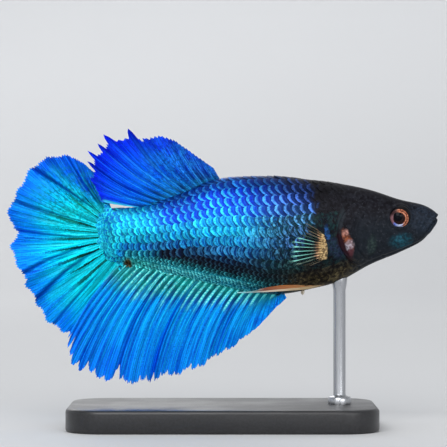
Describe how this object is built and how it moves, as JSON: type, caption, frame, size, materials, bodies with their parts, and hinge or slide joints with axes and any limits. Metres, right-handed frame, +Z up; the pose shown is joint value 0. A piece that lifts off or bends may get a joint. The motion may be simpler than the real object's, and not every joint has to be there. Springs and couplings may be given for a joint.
{
  "type": "betta fish display model",
  "caption": "Life-size betta fish model with round tail, high dorsal and long anal fin, held level on a flat base by one rod.",
  "frame": {"origin": "centre of the underside of the stand's base, below the middle of the fish", "axes": "+X towards the snout, +Y towards the fish's left side, +Z up"},
  "size_m": [0.0557, 0.022, 0.0385],
  "materials": {
    "head_skin": "satin, charcoal",
    "blue_scales": "iridescent, satin",
    "blue_fin": "iridescent, satin",
    "clear_fin": "thin, partly clear",
    "pelvic_fin": "satin",
    "eye": "wet gloss",
    "pale_flesh": "satin",
    "stand_black": "satin black",
    "stand_steel": "brushed"
  },
  "bodies": {
    "root": {"head": "head_skin", "lower_jaw": "head_skin", "gill_cover_L": "head_skin", "gill_cover_R": "head_skin", "trunk_front": "blue_scales", "trunk_rear": "blue_scales", "peduncle": "blue_scales", "dorsal_fin": "blue_fin", "anal_fin": "blue_fin", "caudal_fin": "blue_fin", "pectoral_fin_L": "clear_fin", "pectoral_fin_R": "clear_fin", "pelvic_fin_L": "pelvic_fin", "pelvic_fin_R": "pelvic_fin", "eye_L": "eye", "eye_R": "eye", "egg_tube": "pale_flesh", "stand_base": "stand_black", "stand_rod": "stand_steel"}
  },
  "joints": []
}
